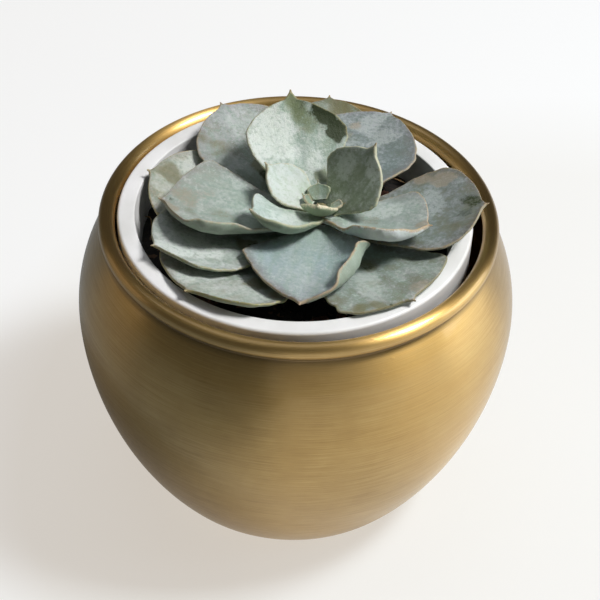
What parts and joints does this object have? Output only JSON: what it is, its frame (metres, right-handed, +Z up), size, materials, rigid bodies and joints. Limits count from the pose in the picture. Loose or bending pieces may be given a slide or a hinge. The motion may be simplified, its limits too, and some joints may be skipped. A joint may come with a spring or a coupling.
{
  "type": "potted echeveria",
  "caption": "Echeveria rosette with cupped blue-green leaves in a white grow pot, standing loose inside a round brushed golden metal pot with a rolled rim.",
  "frame": {"origin": "centre of the face that the pot stands on, on the axis of the metal pot's base", "axes": "+Z up, along the pot's axis; -Y towards the viewer of the front leaf, +X to the right"},
  "size_m": [0.1274, 0.1274, 0.1191],
  "materials": {
    "spun_brass": "brushed",
    "felt": "matte",
    "white_plastic": "gloss",
    "potting_soil": "matte",
    "bark": "matte",
    "succulent_leaf": "satin"
  },
  "bodies": {
    "cachepot": {"metal_pot": "spun_brass", "base_pad": "felt"},
    "planter": {"grow_pot": "white_plastic", "soil": "potting_soil", "bark_chips": "bark", "stem": "succulent_leaf", "leaf_01": "succulent_leaf", "leaf_02": "succulent_leaf", "leaf_03": "succulent_leaf", "leaf_04": "succulent_leaf", "leaf_05": "succulent_leaf", "leaf_06": "succulent_leaf", "leaf_07": "succulent_leaf", "leaf_08": "succulent_leaf", "leaf_09": "succulent_leaf", "leaf_10": "succulent_leaf", "leaf_11": "succulent_leaf", "leaf_12": "succulent_leaf", "leaf_13": "succulent_leaf", "leaf_14": "succulent_leaf", "leaf_15": "succulent_leaf", "leaf_16": "succulent_leaf", "leaf_17": "succulent_leaf", "leaf_18": "succulent_leaf", "leaf_19": "succulent_leaf"}
  },
  "joints": [
    {"name": "planter_lift", "type": "slide", "parent": "cachepot", "child": "planter", "axis": [0, 0, 1], "range_m": [0, 0.12]}
  ]
}
